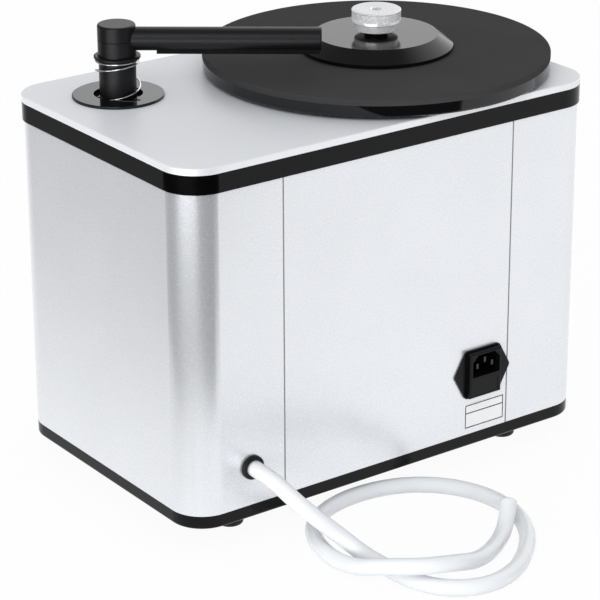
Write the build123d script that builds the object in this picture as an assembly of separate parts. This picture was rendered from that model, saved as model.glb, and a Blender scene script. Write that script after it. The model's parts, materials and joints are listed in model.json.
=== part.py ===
from build123d import *
import math
import os

# Record cleaning machine, vacuum type. Millimetres, +Z up, z = 0 on the floor.
# The back face, with the mains inlet and the drain hose, looks along +Y.
# The pillar of the suction arm stands on the +X side, the platter on the -X side.
os.makedirs("parts", exist_ok=True)

# ---------------------------------------------------------------- driving sizes
plate_width = 365.0
plate_depth = 234.0
corner_radius = 27.3
foot_height = 17.0
slab_thick = 10.3
body_height = 241.2
band_height = 13.9
plate_thick = 5.0
body_inset = 1.5
wall = 3.0
deck_thick = 4.0
lip_depth = 8.0
fit_gap = 0.2
side_return = 79.1
back_panel_width = plate_width - 2 * side_return
back_panel_shift = -1.9
seam_gap = 0.5
rail_half = 6.0

foot_radius = 10.0
foot_inset_x = 52.6
foot_inset_y = 31.5
foot_bore_top = 9.0
screw_radius = 2.0
screw_head_radius = 4.0
screw_head_height = 2.6
sunk_depth = 2.0
post_side = 14.0
post_inset_x = 18.0
post_inset_y = 17.5
post_screw = 14.0
grille_count = 9
grille_step = 7.0
grille_half = 1.7
grille_radius = 34.0

mat_radius = 130.2
mat_overhang = 0.2
mat_thick = 4.6
platter_overhang = 15.2
platter_thick = 8.8
platter_gap = 2.2
spindle_radius = 5.0
pin_radius = 3.6
pin_short = 4.0
run_gap = 0.05

clamp_radius = 57.5
clamp_top_radius = 46.0
clamp_clear = 0.6
clamp_lip = 2.3
clamp_height = 11.3
seal_thick = 1.2
seal_clear = 0.3
seal_edge = 1.0
seal_width = 6.0
knob_neck_radius = 9.0
knob_low_radius = 16.5
knob_radius = 18.5
knob_bottom = 14.5
knob_step = 20.2
knob_top = 29.9
knob_edge = 1.0
knob_flutes = 60
flute_depth = 0.6

pillar_inset_x = 57.4
pillar_inset_y = 61.0
pillar_radius = 13.5
pillar_wall = 2.5
head_radius = 13.9
head_seam = 42.8
seam_edge = 0.3
head_top = 54.2
cap_wall = 5.0
arm_rise = 43.0
arm_radius = 8.575
arm_wall = 1.8
arm_reach = 147.6
arm_angle = 142.8
arm_start = 9.5
slot_width = 3.0
slot_from = 50.0
slot_end = 5.6
slot_to = arm_reach - slot_end
felt_from = 29.0
felt_end = 1.6
felt_to = arm_reach - felt_end
felt_width = 4.0
felt_drop = 1.3
felt_high = 2.575
plug_thick = 1.5
plug_length = 4.0
collar_radius = 17.0
collar_bottom = 28.6
collar_top = 31.0
disc_radius = 33.7
disc_thick = 2.0
well_radius = 18.0
well_depth = 5.6
bush_wall = 2.5
bush_length = 50.0
bush_flange = 3.0
bush_shoulder = 4.0
bush_neck_radius = 17.0
stop_thick = 2.0
stop_width = 2.0
pillar_tail = 8.0

wire_radius = 0.6
spring_low_radius = 16.6
spring_top_radius = 15.6
dead_pitch = 1.75
spring_first = -1.25
spring_last = 2.25
open_from = -0.48
open_to = 1.28
view_azimuth = 54.5

hose_radius = 6.0
hose_bore = 4.0
grommet_radius = 9.0
grommet_step = 2.0
grommet_lip = 3.0
outlet_inset = 51.0
outlet_rise = 29.5

inlet_x = -80.0
inlet_rise = 49.2
flange_wide = 53.0
flange_tall = 38.5
flange_top = 32.0
flange_thick = 1.5
flange_corner = 3.0
inlet_wide = 30.0
inlet_tall = 36.0
inlet_out = 6.0
inlet_edge = 1.0
inlet_deep = 29.5
cavity_wide = 25.8
cavity_tall = 17.5
cavity_depth = 16.0
cavity_rim = 1.7
cavity_cut = 5.0
blade_spread = 7.0
blade_rise = 4.0
blade_drop = 1.0
blade_half_thick = 1.0
blade_half_wide = 2.0
blade_inset = 2.0
blade_tail = 7.0
drawer_wide = 23.0
drawer_tall = 12.0
drawer_deep = 17.5
drawer_rim = 1.4
drawer_gap = 0.1
drawer_inset = 0.3
tray_floor = 3.0
tray_wall = 5.0
tray_front = 9.5
tray_side = 1.1
fuse_radius = 2.6
fuse_length = 20.0

switch_inset = 61.0
switch_step = 50.0
switch_drop = 41.7
rocker_wide = 18.0
rocker_radius = 12.3
rocker_tilt = 8.0
rocker_gap = 0.1
rocker_dish = 4.0
rocker_stand = 3.5
rocker_back = 9.0
pivot_depth = 0.5
bezel_wall = 1.4
bezel_rim = 2.0
bezel_out = 2.0
bezel_deep = 24.0
bezel_room = 16.0

# The platter's bearing and its motor hang from the deck.
bearing_wall = 3.0
bearing_drop = 33.6
bearing_floor = 2.0
housing_wall = 6.0
housing_flange_radius = 30.0
housing_flange_thick = 4.0
spindle_drop = 38.6
shoulder_width = 2.5
shoulder_gap = 0.4
bracket_drop = 62.6
bracket_half = 38.0
bracket_deep = 30.0
bracket_thick = 3.0
bracket_tab = 12.0
motor_radius = 32.0
motor_low_radius = 28.0
motor_waist = 24.0
motor_length = 62.0
motor_boss_radius = 13.0
motor_boss_rise = 4.0
boss_gap = 1.0
drive_radius = 4.0
drive_depth = 16.0
drive_rise = 17.0
coupling_radius = 9.0
coupling_low = 6.0
coupling_grip = 4.0

# The waste tank stands on two bars; the fan stands on the base, over its slots.
tank_wide = 123.0
tank_inset_x = 30.0
tank_inset_front = 27.5
tank_inset_back = 17.5
tank_rise = 18.5
tank_drop = 76.6
tank_wall = 3.0
tank_corner = 8.0
bar_wide = 20.0
bar_inset_x = 6.0
bar_inset_y = 15.0
sleeve_wall = 3.0
sleeve_lap = 10.0
duct_drop = 18.0
duct_radius = 11.0
duct_wall = 2.0
duct_bend = 24.0
fan_inset_x = 66.0
fan_inset_y = 58.5
fan_radius = 50.0
fan_height = 73.0
fan_corner = 8.0
fan_neck_radius = 30.0
fan_neck_height = 16.0
fan_socket = 6.0
mount_height = 19.5
mount_outer = 46.0
mount_inner = 35.0

board_shift = -10.0
board_half = 50.0
board_rise = 84.5
board_tall = 70.0
board_thick = 1.6
board_stand = 8.0
board_margin = 6.0
standoff_radius = 3.5
chip_rows = (
    (-40.0, -10.0, 10.0, 40.0, 17.4),
    (0.0, 20.0, 12.0, 32.0, 11.4),
    (-40.0, 40.0, 54.0, 64.0, 9.4),
)
can_shift = -10.0
can_y = 40.0
can_radius = 17.0
can_height = 64.7
can_corner = 2.0
tag_radius = 5.0
tag_height = 6.0

# ------------------------------------------------------------- sizes that follow
platter_radius = mat_radius - mat_overhang
body_x = platter_overhang / 2
platter_x = body_x - (plate_width / 2 + platter_overhang - mat_radius)
slab_z = foot_height
body_z = slab_z + slab_thick
band_z = body_z + body_height
plate_z = band_z + band_height
top_z = plate_z + plate_thick
deck_z = plate_z - deck_thick
body_width = plate_width - 2 * body_inset
body_depth = plate_depth - 2 * body_inset
body_corner = corner_radius - body_inset
back_y = body_depth / 2
front_y = -back_y
inner_width = body_width - 2 * wall
inner_depth = body_depth - 2 * wall
foot_x = body_width / 2 - foot_inset_x
foot_y = body_depth / 2 - foot_inset_y
post_x = inner_width / 2 - post_inset_x
post_y = inner_depth / 2 - post_inset_y
arm_x = body_x + plate_width / 2 - pillar_inset_x
pillar_y = pillar_inset_y - plate_depth / 2
hose_x = body_x + body_width / 2 - outlet_inset
outlet_z = body_z + outlet_rise
inlet_z = body_z + inlet_rise
switch_z = band_z - switch_drop
spread = [(-1, -1), (1, -1), (1, 1), (-1, 1)]


def put(name, shape):
    """Write one sub-part to its own file."""
    export_step(shape, "parts/" + name + ".step")


def rod(x, y, low, high, radius):
    """An upright cylinder from one height to another."""
    return Pos(x, y, (low + high) / 2) * Cylinder(radius, high - low)


def ring(x, y, low, high, outer, inner):
    """An upright tube."""
    return rod(x, y, low, high, outer) - rod(x, y, low, high, inner)


def cone(x, y, low, high, low_radius, high_radius):
    """An upright frustum."""
    return Pos(x, y, (low + high) / 2) * Cone(low_radius, high_radius, high - low)


def block(x_low, x_high, y_low, y_high, low, high):
    """A box between two corners."""
    size = Box(x_high - x_low, y_high - y_low, high - low)
    return Pos((x_low + x_high) / 2, (y_low + y_high) / 2, (low + high) / 2) * size


def slab(width, depth, radius, low, high):
    """A slab with rounded upright corners, on the body's centre."""
    outline = RectangleRounded(width, depth, radius)
    return Pos(body_x, 0, low) * extrude(outline, high - low)


def lying(x, y_low, y_high, z, radius):
    """A cylinder along Y."""
    size = Cylinder(radius, y_high - y_low, rotation=(90, 0, 0))
    return Pos(x, (y_low + y_high) / 2, z) * size


def across(x_low, x_high, y, z, radius):
    """A cylinder along X."""
    size = Cylinder(radius, x_high - x_low, rotation=(0, 90, 0))
    return Pos((x_low + x_high) / 2, y, z) * size


# ------------------------------------------------------------------ feet and base
vac_x = body_x - inner_width / 2 + fan_inset_x
vac_y = fan_inset_y - inner_depth / 2
base = slab(body_width, body_depth, body_corner, slab_z, body_z)
base = fillet(base.faces().sort_by(Axis.Z)[0].outer_wire().edges(), 2.0)
slots = []
for number in range(grille_count):
    offset = (number - (grille_count - 1) / 2) * grille_step
    half = math.sqrt(grille_radius**2 - offset**2)
    side = vac_x + offset
    slots.append(
        block(side - grille_half, side + grille_half, vac_y - half, vac_y + half, slab_z, body_z)
    )
base = base - slots
foot_screw_top = body_z - 1.5
base_cuts = []
foot_screws = []
base_screws = []
deck_cuts = []
deck_screws = []
for number, (sx, sy) in enumerate(spread, start=1):
    x = body_x + sx * foot_x
    y = sy * foot_y
    foot = rod(x, y, 0, slab_z, foot_radius)
    foot = fillet(foot.edges().group_by(Axis.Z)[0], 2.0)
    foot = foot - rod(x, y, 0, foot_bore_top, screw_head_radius + 0.5)
    foot = foot - rod(x, y, foot_bore_top, slab_z, screw_radius)
    put("foot_%d" % number, foot)
    head = rod(x, y, foot_bore_top - screw_head_height, foot_bore_top, screw_head_radius)
    foot_screws.append(head + rod(x, y, foot_bore_top, foot_screw_top, screw_radius))
    base_cuts.append(rod(x, y, slab_z, foot_screw_top, screw_radius))

    x = body_x + sx * post_x
    y = sy * post_y
    half = post_side / 2
    post = block(x - half, x + half, y - half, y + half, body_z, deck_z)
    post = chamfer(post.edges().filter_by(Axis.Z), 1.5)
    low_end = body_z + post_screw
    high_end = deck_z - post_screw
    post = post - rod(x, y, body_z, low_end, screw_radius)
    post = post - rod(x, y, high_end, deck_z, screw_radius)
    put("corner_post_%d" % number, post)
    sunk = cone(x, y, slab_z, slab_z + sunk_depth, screw_head_radius, screw_radius)
    base_screws.append(sunk + rod(x, y, slab_z + sunk_depth, low_end, screw_radius))
    base_cuts.append(sunk + rod(x, y, slab_z + sunk_depth, body_z, screw_radius))
    sunk = cone(x, y, plate_z - sunk_depth, plate_z, screw_radius, screw_head_radius)
    deck_screws.append(sunk + rod(x, y, high_end, plate_z - sunk_depth, screw_radius))
    deck_cuts.append(sunk + rod(x, y, deck_z, plate_z - sunk_depth, screw_radius))
put("base_plate", base - base_cuts)
put("foot_screws", Compound(foot_screws))
put("base_screws", Compound(base_screws))
put("deck_screws", Compound(deck_screws))

# ----------------------------------------------------------------------- housing
outer = slab(body_width, body_depth, body_corner, body_z, band_z)
inner = slab(inner_width, inner_depth, body_corner - wall, body_z, band_z)
shell = outer - inner
half_open = back_panel_width / 2
panel_x = body_x + back_panel_shift
shell = shell - block(
    panel_x - half_open, panel_x + half_open, back_y - wall - 1, back_y + 1, body_z, band_z
)
grommet_neck = grommet_radius - grommet_step
shell = shell - lying(hose_x, back_y - wall - 1, back_y + 1, outlet_z, grommet_neck)
last_switch = body_x + body_width / 2 - switch_inset
switch_places = [last_switch - switch_step, last_switch]
bezel_wide = rocker_wide + 2 * bezel_wall
bezel_tall = 2 * rocker_radius + 2 * bezel_wall
for x in switch_places:
    shell = shell - block(
        x - bezel_wide / 2,
        x + bezel_wide / 2,
        front_y - 1,
        front_y + wall + 1,
        switch_z - bezel_tall / 2,
        switch_z + bezel_tall / 2,
    )
put("housing_shell", shell)

panel_half = half_open - seam_gap
panel = block(
    panel_x - panel_half, panel_x + panel_half, back_y - wall, back_y, body_z, band_z
)
socket_x = body_x + inlet_x
body_half = inlet_wide / 2
panel = panel - block(
    socket_x - body_half,
    socket_x + body_half,
    back_y - wall - 1,
    back_y + 1,
    inlet_z - inlet_tall / 2,
    inlet_z + inlet_tall / 2,
)
put("back_panel", panel)
rail_top = band_z - lip_depth - 1.0
for name, side in (("seam_rail_left", 1), ("seam_rail_right", -1)):
    x = panel_x + side * half_open
    rail = block(
        x - rail_half,
        x + rail_half,
        back_y - 2 * wall,
        back_y - wall,
        body_z,
        rail_top,
    )
    put(name, rail)

# -------------------------------------------------------- top frame and top plate
frame = slab(plate_width, plate_depth, corner_radius, band_z, plate_z)
cavity = slab(inner_width, inner_depth, body_corner - wall, band_z, deck_z)
frame = frame - cavity
lip_width = inner_width - 2 * fit_gap
lip_space = inner_depth - 2 * fit_gap
lip_corner = body_corner - wall - fit_gap
lip = slab(lip_width, lip_space, lip_corner, band_z - lip_depth, deck_z)
lip = lip - slab(
    lip_width - 2 * wall, lip_space - 2 * wall, lip_corner - wall, band_z - lip_depth, deck_z
)
frame = frame + lip
spindle_hole = spindle_radius + 4.0
bush_radius = well_radius + bush_wall
frame = frame - rod(platter_x, 0, deck_z, plate_z, spindle_hole)
frame = frame - rod(arm_x, pillar_y, deck_z, plate_z, bush_radius)
bush_bolt_ring = bush_radius + 5.5
bush_screws = []
screw_cuts = []
bush_bolt_top = deck_z + deck_thick - 1.0
for number in range(3):
    turn = math.radians(30 + 120 * number)
    x = arm_x + bush_bolt_ring * math.cos(turn)
    y = pillar_y + bush_bolt_ring * math.sin(turn)
    low = deck_z - bush_flange
    head = rod(x, y, low - screw_head_height, low, screw_head_radius - 0.6)
    bush_screws.append(head + rod(x, y, low, bush_bolt_top, screw_radius - 0.5))
    screw_cuts.append(rod(x, y, low, bush_bolt_top, screw_radius - 0.5))
frame = frame - deck_cuts - screw_cuts
put("top_frame", frame)
put("guide_bush_screws", Compound(bush_screws))

top_plate = slab(plate_width, plate_depth, corner_radius, plate_z, top_z)
top_plate = chamfer(top_plate.faces().sort_by(Axis.Z)[-1].outer_wire().edges(), 0.6)
top_plate = top_plate - rod(platter_x, 0, plate_z, top_z, spindle_hole)
top_plate = top_plate - rod(arm_x, pillar_y, plate_z, top_z, bush_radius)
put("top_plate", top_plate)

# --------------------------------------------------- suction arm, guide and spring
disc = ring(arm_x, pillar_y, top_z, top_z + disc_thick, disc_radius, well_radius)
disc = fillet(disc.faces().sort_by(Axis.Z)[-1].outer_wire().edges(), 0.8)
put("arm_escutcheon", disc)
seat_z = top_z - well_depth
bush_end = top_z - bush_length
bush_step = deck_z - bush_flange - bush_shoulder
bore_radius = pillar_radius + run_gap
bush = rod(arm_x, pillar_y, bush_step, top_z, bush_radius)
bush = bush + rod(arm_x, pillar_y, deck_z - bush_flange, deck_z, bush_bolt_ring + 4.5)
bush = bush + rod(arm_x, pillar_y, bush_end, bush_step, bush_neck_radius)
bush = bush - rod(arm_x, pillar_y, seat_z, top_z, well_radius)
bush = bush - rod(arm_x, pillar_y, bush_end, seat_z, bore_radius) - screw_cuts
put("arm_guide_bush", bush)

collar = rod(arm_x, pillar_y, top_z + collar_bottom + 0.8, top_z + collar_top - 0.5, collar_radius)
collar = collar + cone(
    arm_x,
    pillar_y,
    top_z + collar_bottom,
    top_z + collar_bottom + 0.8,
    collar_radius - 0.5,
    collar_radius,
)
collar = collar + cone(
    arm_x,
    pillar_y,
    top_z + collar_top - 0.5,
    top_z + collar_top,
    collar_radius,
    collar_radius - 0.8,
)
collar = collar - rod(
    arm_x, pillar_y, top_z + collar_bottom, top_z + collar_top, bore_radius
)
put("lift_collar", collar)

spring_low = seat_z + wire_radius
spring_high = top_z + collar_bottom - wire_radius
dead_rise = dead_pitch * (spring_last - spring_first)
open_rise = spring_high - spring_low - dead_rise


def spring_share(turn):
    """How much of the open coils' rise is reached at a turn, and its slope."""
    part = min(max((turn - open_from) / (open_to - open_from), 0.0), 1.0)
    slope = 6 * part * (1 - part) / (open_to - open_from)
    return part * part * (3 - 2 * part), slope


def spring_point(turn):
    """Centre of the wire and the direction it runs in, at a number of turns."""
    share, share_slope = spring_share(turn)
    along = (turn - spring_first) / (spring_last - spring_first)
    radius = spring_low_radius + (spring_top_radius - spring_low_radius) * along
    shrink = (spring_top_radius - spring_low_radius) / (spring_last - spring_first)
    angle = math.radians(view_azimuth) + 2 * math.pi * turn
    height = spring_low + dead_pitch * (turn - spring_first) + open_rise * share
    point = Vector(
        arm_x + radius * math.cos(angle), pillar_y + radius * math.sin(angle), height
    )
    heading = Vector(
        shrink * math.cos(angle) - 2 * math.pi * radius * math.sin(angle),
        shrink * math.sin(angle) + 2 * math.pi * radius * math.cos(angle),
        dead_pitch + open_rise * share_slope,
    )
    return point, heading.normalized()


def biarc(start, start_way, end, end_way):
    """Two arcs that leave and arrive in given directions."""
    gap = end - start
    ways = start_way + end_way
    first = 2 * (1 - start_way.dot(end_way))
    second = 2 * gap.dot(ways)
    third = -gap.dot(gap)
    reach = (-second + math.sqrt(second**2 - 4 * first * third)) / (2 * first)
    middle = (start + start_way * reach + end - end_way * reach) * 0.5
    one = TangentArc([start, middle], tangent=start_way)
    two = TangentArc([middle, end], tangent=one % 1)
    return [one, two]


quarter_turns = round((spring_last - spring_first) * 4)
coil = []
for number in range(quarter_turns):
    here, here_way = spring_point(spring_first + number / 4)
    there, there_way = spring_point(spring_first + (number + 1) / 4)
    coil.extend(biarc(here, here_way, there, there_way))
coil_path = Wire(coil)
coil_face = Plane(origin=coil_path @ 0, z_dir=coil_path % 0) * Circle(wire_radius)
put("lift_spring", sweep(coil_face, path=coil_path))
samples = []
for number in range(40 * quarter_turns):
    turn = spring_first + number / 160
    samples.append((turn, spring_point(turn)[0]))
least = 99.0
for number, (turn, point) in enumerate(samples):
    for other_turn, other in samples[number + 1 :]:
        if other_turn - turn > 0.5:
            least = min(least, (point - other).length)
print("lift spring least gap to itself", round(least - 2 * wire_radius, 3))

# The arm is drawn along +X from its pillar and then turned to where it stands.
stand = Pos(arm_x, pillar_y, 0) * Rot(0, 0, arm_angle)
head_low = top_z + collar_top + run_gap
seam_z = top_z + head_seam
head_z = top_z + head_top
arm_z = top_z + arm_rise
pillar_bore = pillar_radius - pillar_wall
pillar_end = bush_end - pillar_tail
arm_solid = across(arm_start, arm_reach, 0, arm_z, arm_radius)
pillar = rod(0, 0, head_low, seam_z, head_radius)
pillar = chamfer(pillar.edges().group_by(Axis.Z)[-1], seam_edge)
pillar = pillar + rod(0, 0, pillar_end, head_low, pillar_radius)
stop_top = bush_end - run_gap
pillar = pillar + rod(0, 0, stop_top - stop_thick, stop_top, pillar_radius + stop_width)
pillar = pillar - rod(0, 0, pillar_end, seam_z, pillar_bore) - arm_solid
put("arm_pillar", stand * pillar)
cap = rod(0, 0, seam_z, head_z, head_radius)
cap = fillet(cap.edges().group_by(Axis.Z)[-1], 1.6)
cap = chamfer(cap.edges().group_by(Axis.Z)[0], seam_edge)
cap = cap - rod(0, 0, seam_z, head_z - cap_wall, pillar_bore) - arm_solid
put("arm_head_cap", stand * cap)
tube_end = arm_reach - plug_thick
arm_bore = arm_radius - arm_wall
tube = across(arm_start, tube_end, 0, arm_z, arm_radius)
tube = tube - across(arm_start, tube_end, 0, arm_z, arm_bore)
slot_low = arm_z - arm_radius - 1
tube = tube - block(slot_from, slot_to, -slot_width / 2, slot_width / 2, slot_low, arm_z)
put("arm_tube", stand * tube)
plug = across(tube_end, arm_reach, 0, arm_z, arm_radius)
plug = fillet(plug.edges().group_by(Axis.X)[-1], 0.7)
plug = plug + across(tube_end - plug_length, tube_end, 0, arm_z, arm_bore)
put("arm_end_plug", stand * plug)
felt_low = arm_z - arm_radius - felt_drop
felt_top = arm_z - arm_radius + felt_high
for name, side in (("felt_strip_1", 1), ("felt_strip_2", -1)):
    near = side * slot_width / 2
    far = side * (slot_width / 2 + felt_width)
    strip = block(felt_from, felt_to, min(near, far), max(near, far), felt_low, felt_top)
    put(name, stand * (strip - across(felt_from - 1, felt_to + 1, 0, arm_z, arm_radius)))

# ------------------------------------------------------------- platter and spindle
platter_low = top_z + platter_gap
mat_low = platter_low + platter_thick
mat_top = mat_low + mat_thick
shaft_low = deck_z - spindle_drop
platter = rod(platter_x, 0, platter_low, mat_low, platter_radius)
platter = fillet(platter.edges().group_by(Axis.Z)[0], 1.2)
platter = platter - rod(platter_x, 0, platter_low, mat_low, spindle_radius)
put("platter", platter)
mat = rod(platter_x, 0, mat_low, mat_top, mat_radius)
mat = fillet(mat.edges().group_by(Axis.Z)[-1], 0.8)
put("platter_mat", mat - rod(platter_x, 0, mat_low, mat_top, pin_radius))
pin_top = mat_top + knob_top - pin_short
spindle = rod(platter_x, 0, shaft_low, mat_low, spindle_radius)
pin = rod(platter_x, 0, mat_low, pin_top, pin_radius)
pin = chamfer(pin.edges().group_by(Axis.Z)[-1], 0.6)
shoulder_radius = spindle_radius + shoulder_width
shoulder = rod(platter_x, 0, top_z + shoulder_gap, platter_low, shoulder_radius)
put("spindle", spindle + pin + shoulder)

clamp_low = mat_top + clamp_clear
clamp_high = mat_top + clamp_height
seal_low = mat_top + seal_clear
seal_outer = clamp_radius - seal_edge
seal = ring(
    platter_x, 0, seal_low, seal_low + seal_thick, seal_outer, seal_outer - seal_width
)
put("clamp_seal", seal)
clamp = rod(platter_x, 0, clamp_low, clamp_low + clamp_lip, clamp_radius)
clamp = clamp + cone(
    platter_x, 0, clamp_low + clamp_lip, clamp_high, clamp_radius, clamp_top_radius
)
neck_top = mat_top + knob_bottom - run_gap
clamp = clamp + rod(platter_x, 0, clamp_high, neck_top, knob_neck_radius)
clamp = clamp - rod(platter_x, 0, clamp_low, neck_top, pin_radius + run_gap) - seal
put("clamp_disc", clamp)
rim_points = []
for number in range(2 * knob_flutes):
    angle = math.pi * number / knob_flutes
    radius = knob_radius - flute_depth * (number % 2)
    rim_points.append((radius * math.cos(angle), radius * math.sin(angle)))
grip = Pos(platter_x, 0, mat_top + knob_step) * extrude(
    make_face(Polyline(*rim_points, close=True)), knob_top - knob_step
)
edge_z = mat_top + knob_top - knob_edge
top_cut = cone(
    platter_x, 0, edge_z, mat_top + knob_top, knob_radius, knob_radius - knob_edge
)
keep = rod(platter_x, 0, mat_top + knob_step, edge_z, knob_radius + 1)
knob = grip & (keep + top_cut)
knob = knob + rod(platter_x, 0, mat_top + knob_bottom, mat_top + knob_step, knob_low_radius)
knob = knob - rod(
    platter_x, 0, mat_top + knob_bottom, mat_top + knob_top, pin_radius + run_gap
)
put("clamp_knob", knob)

# ------------------------------------------------- platter bearing, motor and drive
bearing_outer = spindle_radius + bearing_wall
house_low = deck_z - bearing_drop
bearing_low = house_low + bearing_floor
bearing = ring(platter_x, 0, bearing_low, deck_z, bearing_outer, spindle_radius + run_gap)
put("bearing_bush", bearing)
house = rod(platter_x, 0, house_low, deck_z, bearing_outer + housing_wall)
house = house + rod(
    platter_x, 0, deck_z - housing_flange_thick, deck_z, housing_flange_radius
)
house = house - rod(platter_x, 0, bearing_low, deck_z, bearing_outer)
house = house - rod(platter_x, 0, house_low, bearing_low, spindle_radius + 1)
put("bearing_housing", house)
bracket_z = deck_z - bracket_drop
inside = bracket_half - bracket_thick
outside = bracket_half + bracket_tab
bracket = block(
    platter_x - bracket_half,
    platter_x + bracket_half,
    -bracket_deep,
    bracket_deep,
    bracket_z,
    bracket_z + bracket_thick,
)
for side in (-1, 1):
    near = platter_x + side * inside
    for far, low in ((bracket_half, bracket_z), (outside, deck_z - bracket_thick)):
        edge = platter_x + side * far
        bracket = bracket + block(
            min(near, edge), max(near, edge), -bracket_deep, bracket_deep, low, deck_z
        )
boss_hole = motor_boss_radius + boss_gap
bracket = bracket - rod(platter_x, 0, bracket_z, bracket_z + bracket_thick, boss_hole)
put("motor_bracket", bracket)
waist_z = bracket_z - motor_waist
boss_top = bracket_z + motor_boss_rise
drive_low = bracket_z - drive_depth
drive_top = bracket_z + drive_rise
motor = rod(platter_x, 0, waist_z, bracket_z, motor_radius)
motor = motor + rod(platter_x, 0, bracket_z - motor_length, waist_z, motor_low_radius)
motor = motor + rod(platter_x, 0, bracket_z, boss_top, motor_boss_radius)
motor = motor - rod(platter_x, 0, drive_low, boss_top, drive_radius + run_gap)
put("platter_motor", motor)
drive = rod(platter_x, 0, drive_low + run_gap, drive_top, drive_radius)
put("motor_shaft", drive)
joiner_low = bracket_z + coupling_low
joiner_top = shaft_low + coupling_grip
joiner = rod(platter_x, 0, joiner_low, joiner_top, coupling_radius)
joiner = joiner - rod(platter_x, 0, joiner_low, drive_top, drive_radius)
joiner = joiner - rod(platter_x, 0, drive_top, joiner_top, spindle_radius)
put("shaft_coupling", joiner)

# ----------------------------------------------------- waste tank, outlet and hose
tank_low = body_z + tank_rise
tank_high = deck_z - tank_drop
tank_right = body_x + inner_width / 2 - tank_inset_x
tank_left = tank_right - tank_wide
tank_front = tank_inset_front - inner_depth / 2
tank_back = inner_depth / 2 - tank_inset_back
tank = block(tank_left, tank_right, tank_front, tank_back, tank_low, tank_high)
tank = fillet(tank.edges().filter_by(Axis.Z), tank_corner)
hollow = block(
    tank_left + tank_wall,
    tank_right - tank_wall,
    tank_front + tank_wall,
    tank_back - tank_wall,
    tank_low + tank_wall,
    tank_high - tank_wall,
)
hollow = fillet(hollow.edges().filter_by(Axis.Z), tank_corner - tank_wall)
duct_z = tank_high - duct_drop
tank_cut = tank_wall + 1
tank = tank - hollow
tank = tank - rod(arm_x, pillar_y, tank_high - tank_cut, tank_high + 1, bush_neck_radius)
tank = tank - across(tank_left - 1, tank_left + tank_cut, vac_y, duct_z, duct_radius - duct_wall)
tank = tank - lying(hose_x, tank_back - tank_cut, tank_back + 1, outlet_z, hose_radius)
put("waste_tank", tank)
bars = []
for near in (tank_front + bar_inset_y, tank_back - bar_inset_y - bar_wide):
    bars.append(
        block(
            tank_left + bar_inset_x,
            tank_right - bar_inset_x,
            near,
            near + bar_wide,
            body_z,
            tank_low,
        )
    )
put("tank_cradle", Compound(bars))
sleeve_outer = bush_neck_radius + sleeve_wall
sleeve_top = bush_end + sleeve_lap
sleeve = ring(arm_x, pillar_y, tank_high, sleeve_top, sleeve_outer, bush_neck_radius)
put("inlet_sleeve", sleeve)
face_y = back_y + grommet_lip
pipe_start = tank_back - tank_wall
pipe = lying(hose_x, pipe_start, face_y, outlet_z, hose_radius)
pipe = pipe - lying(hose_x, pipe_start, face_y, outlet_z, hose_bore)
put("outlet_pipe", pipe)
lip_back = back_y - wall - grommet_step
grommet = lying(hose_x, back_y, face_y, outlet_z, grommet_radius)
grommet = fillet(grommet.edges().group_by(Axis.Y)[-1], 1.2)
grommet = grommet + lying(hose_x, back_y - wall, back_y, outlet_z, grommet_neck)
grommet = grommet + lying(hose_x, lip_back, back_y - wall, outlet_z, grommet_radius)
grommet = grommet - lying(hose_x, lip_back, face_y, outlet_z, hose_radius)
put("hose_grommet", grommet)

floor_z = hose_radius + 0.1
hose_route = [
    (hose_x, face_y, outlet_z),
    (hose_x, face_y + 15.0, outlet_z),
    (135.2, 147.7, 52.3),
    (129.6, 160.4, 43.3),
    (119.2, 169.1, 31.5),
    (106.6, 177.2, 18.8),
    (98.8, 192.4, 9.0),
    (94.7, 212.9, floor_z),
    (93.7, 238.0, floor_z),
    (82.6, 264.2, floor_z),
    (56.2, 279.1, floor_z),
    (27.1, 274.2, floor_z),
    (0.1, 255.5, floor_z),
    (-24.3, 228.1, floor_z),
    (-36.4, 191.5, floor_z),
    (-28.9, 152.5, floor_z),
    (-3.3, 124.0, floor_z),
    (32.1, 112.3, floor_z),
    (70.1, 115.9, floor_z),
    (101.2, 134.7, floor_z),
    (116.1, 168.6, floor_z),
    (115.8, 200.1, floor_z),
    (110.8, 233.7, 19.1),
    (93.9, 253.1, 22.0),
    (68.5, 260.5, 20.2),
    (37.7, 251.3, 9.2),
    (2.4, 230.2, floor_z),
    (-12.0, 219.3, 13.5),
    (-19.5, 211.5, 21.8),
]


def hose_path(points):
    """Straight runs joined by one arc at each bend."""
    places = [Vector(*point) for point in points]
    radii = []
    for number in range(1, len(places) - 1):
        before = places[number] - places[number - 1]
        after = places[number + 1] - places[number]
        turn = before.get_angle(after)
        room = 0.45 * min(before.length, after.length)
        radii.append(round(room / math.tan(math.radians(turn) / 2), 2))
    return FilletPolyline(*points, radius=radii), radii


hose_wire, bends = hose_path(hose_route)
start_plane = Plane(origin=hose_wire @ 0, z_dir=hose_wire % 0)
section = start_plane * (Circle(hose_radius) - Circle(hose_bore))
hose = sweep(section, path=hose_wire)
put("drain_hose", hose)
length = hose_wire.length
print("hose length", round(length, 1), "bend radii", bends)
expected = math.pi * (hose_radius**2 - hose_bore**2) * length
print("hose volume", round(hose.volume), "section times length", round(expected))

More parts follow.
